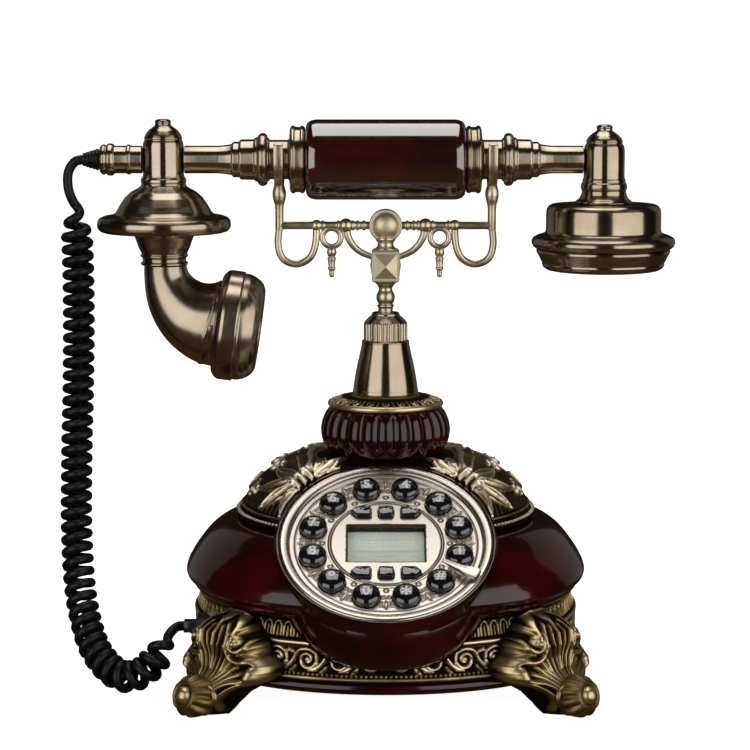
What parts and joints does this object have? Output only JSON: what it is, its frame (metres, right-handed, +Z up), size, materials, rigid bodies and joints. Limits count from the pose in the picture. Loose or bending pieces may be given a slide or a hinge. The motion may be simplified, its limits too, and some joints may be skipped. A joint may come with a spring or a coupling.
{
  "type": "cradle telephone",
  "caption": "French-style cradle telephone: bowed lacquered base on scroll feet, push-button dial with display, sprung cradle, handset and curly cord.",
  "frame": {"origin": "centre of the footprint on the table, under the base and handset without the free cord", "axes": "+Z up, +X along the handset to the receiver, -Y toward the user"},
  "size_m": [0.2675, 0.1858, 0.242],
  "materials": {
    "lacquer": "burgundy lacquer, high gloss",
    "cast_gold": "antique gold casting, dark in its recesses",
    "bronze": "polished antique bronze",
    "satin_brass": "satin antique brass",
    "champagne": "satin champagne",
    "clear_window": "clear",
    "screen": "grey-green display",
    "circuit_board": "green board",
    "grey_plastic": "matt",
    "steel": "bright",
    "cord_rubber": "satin black",
    "black_plastic": "gloss black"
  },
  "bodies": {
    "base": {"body_shell": "lacquer", "skirt_band": "cast_gold", "bottom_plate": "lacquer", "foot_rear_right": "cast_gold", "foot_rear_left": "cast_gold", "foot_front_left": "cast_gold", "foot_front_right": "cast_gold", "crown_plate": "cast_gold", "collar": "lacquer", "collar_cap": "cast_gold", "stem_bell": "bronze", "keypad_plate": "champagne", "keypad_bezel": "champagne", "finger_stop": "champagne", "display_window": "clear_window", "display_module": "screen", "keypad_board": "circuit_board", "cord_jack": "grey_plastic", "line_jack": "grey_plastic", "main_board": "circuit_board", "ringer_speaker": "grey_plastic", "ballast_weight": "steel", "hook_switch": "grey_plastic", "hook_spring": "steel", "handset_cord_tail": "cord_rubber", "handset_cord_coil": "cord_rubber", "handset_cord_plug": "black_plastic"},
    "cradle": {"cradle_yoke": "satin_brass", "cradle_stem": "satin_brass"},
    "handset": {"grip_sleeve": "lacquer", "neck_left": "bronze", "neck_right": "bronze", "cord_gland": "bronze", "transmitter_head": "bronze", "mouthpiece_elbow": "bronze", "mouthpiece_rim": "bronze", "microphone_capsule": "grey_plastic", "receiver_head": "bronze", "receiver_cup": "bronze", "receiver_cap": "bronze", "receiver_capsule": "grey_plastic", "handset_cord_boot": "cord_rubber"},
    "key_1": {"key_1": "black_plastic"},
    "key_2": {"key_2": "black_plastic"},
    "key_3": {"key_3": "black_plastic"},
    "key_4": {"key_4": "black_plastic"},
    "key_5": {"key_5": "black_plastic"},
    "key_6": {"key_6": "black_plastic"},
    "key_7": {"key_7": "black_plastic"},
    "key_8": {"key_8": "black_plastic"},
    "key_9": {"key_9": "black_plastic"},
    "key_0": {"key_0": "black_plastic"},
    "key_star": {"key_star": "black_plastic"},
    "key_hash": {"key_hash": "black_plastic"},
    "key_upper_left": {"key_upper_left": "black_plastic"},
    "key_lower_left": {"key_lower_left": "black_plastic"},
    "key_upper_middle": {"key_upper_middle": "black_plastic"},
    "key_lower_middle": {"key_lower_middle": "black_plastic"},
    "key_upper_right": {"key_upper_right": "black_plastic"},
    "key_lower_right": {"key_lower_right": "black_plastic"}
  },
  "joints": [
    {"name": "handset_lift", "type": "slide", "parent": "base", "child": "handset", "axis": [0, 0, 1], "range_m": [0, 0.09]},
    {"name": "hook_rise", "type": "slide", "parent": "base", "child": "cradle", "axis": [0, 0, 1], "range_m": [0, 0.0045], "deforming": ["hook_spring"]},
    {"name": "key_1_press", "type": "slide", "parent": "base", "child": "key_1", "axis": [0, 0.5736, -0.8192], "range_m": [0, 0.0015], "stiffness_N_per_m": 300, "springref_m": -0.001},
    {"name": "key_2_press", "type": "slide", "parent": "base", "child": "key_2", "axis": [0, 0.5736, -0.8192], "range_m": [0, 0.0015], "stiffness_N_per_m": 300, "springref_m": -0.001},
    {"name": "key_3_press", "type": "slide", "parent": "base", "child": "key_3", "axis": [0, 0.5736, -0.8192], "range_m": [0, 0.0015], "stiffness_N_per_m": 300, "springref_m": -0.001},
    {"name": "key_4_press", "type": "slide", "parent": "base", "child": "key_4", "axis": [0, 0.5736, -0.8192], "range_m": [0, 0.0015], "stiffness_N_per_m": 300, "springref_m": -0.001},
    {"name": "key_5_press", "type": "slide", "parent": "base", "child": "key_5", "axis": [0, 0.5736, -0.8192], "range_m": [0, 0.0015], "stiffness_N_per_m": 300, "springref_m": -0.001},
    {"name": "key_6_press", "type": "slide", "parent": "base", "child": "key_6", "axis": [0, 0.5736, -0.8192], "range_m": [0, 0.0015], "stiffness_N_per_m": 300, "springref_m": -0.001},
    {"name": "key_7_press", "type": "slide", "parent": "base", "child": "key_7", "axis": [0, 0.5736, -0.8192], "range_m": [0, 0.0015], "stiffness_N_per_m": 300, "springref_m": -0.001},
    {"name": "key_8_press", "type": "slide", "parent": "base", "child": "key_8", "axis": [0, 0.5736, -0.8192], "range_m": [0, 0.0015], "stiffness_N_per_m": 300, "springref_m": -0.001},
    {"name": "key_9_press", "type": "slide", "parent": "base", "child": "key_9", "axis": [0, 0.5736, -0.8192], "range_m": [0, 0.0015], "stiffness_N_per_m": 300, "springref_m": -0.001},
    {"name": "key_0_press", "type": "slide", "parent": "base", "child": "key_0", "axis": [0, 0.5736, -0.8192], "range_m": [0, 0.0015], "stiffness_N_per_m": 300, "springref_m": -0.001},
    {"name": "key_star_press", "type": "slide", "parent": "base", "child": "key_star", "axis": [0, 0.5736, -0.8192], "range_m": [0, 0.0015], "stiffness_N_per_m": 300, "springref_m": -0.001},
    {"name": "key_hash_press", "type": "slide", "parent": "base", "child": "key_hash", "axis": [0, 0.5736, -0.8192], "range_m": [0, 0.0015], "stiffness_N_per_m": 300, "springref_m": -0.001},
    {"name": "key_upper_left_press", "type": "slide", "parent": "base", "child": "key_upper_left", "axis": [0, 0.5736, -0.8192], "range_m": [0, 0.0015], "stiffness_N_per_m": 300, "springref_m": -0.001},
    {"name": "key_lower_left_press", "type": "slide", "parent": "base", "child": "key_lower_left", "axis": [0, 0.5736, -0.8192], "range_m": [0, 0.0015], "stiffness_N_per_m": 300, "springref_m": -0.001},
    {"name": "key_upper_middle_press", "type": "slide", "parent": "base", "child": "key_upper_middle", "axis": [0, 0.5736, -0.8192], "range_m": [0, 0.0015], "stiffness_N_per_m": 300, "springref_m": -0.001},
    {"name": "key_lower_middle_press", "type": "slide", "parent": "base", "child": "key_lower_middle", "axis": [0, 0.5736, -0.8192], "range_m": [0, 0.0015], "stiffness_N_per_m": 300, "springref_m": -0.001},
    {"name": "key_upper_right_press", "type": "slide", "parent": "base", "child": "key_upper_right", "axis": [0, 0.5736, -0.8192], "range_m": [0, 0.0015], "stiffness_N_per_m": 300, "springref_m": -0.001},
    {"name": "key_lower_right_press", "type": "slide", "parent": "base", "child": "key_lower_right", "axis": [0, 0.5736, -0.8192], "range_m": [0, 0.0015], "stiffness_N_per_m": 300, "springref_m": -0.001}
  ],
  "couplings": [
    {"joint": "hook_rise", "follows": "handset_lift", "ratio": 0.05}
  ]
}
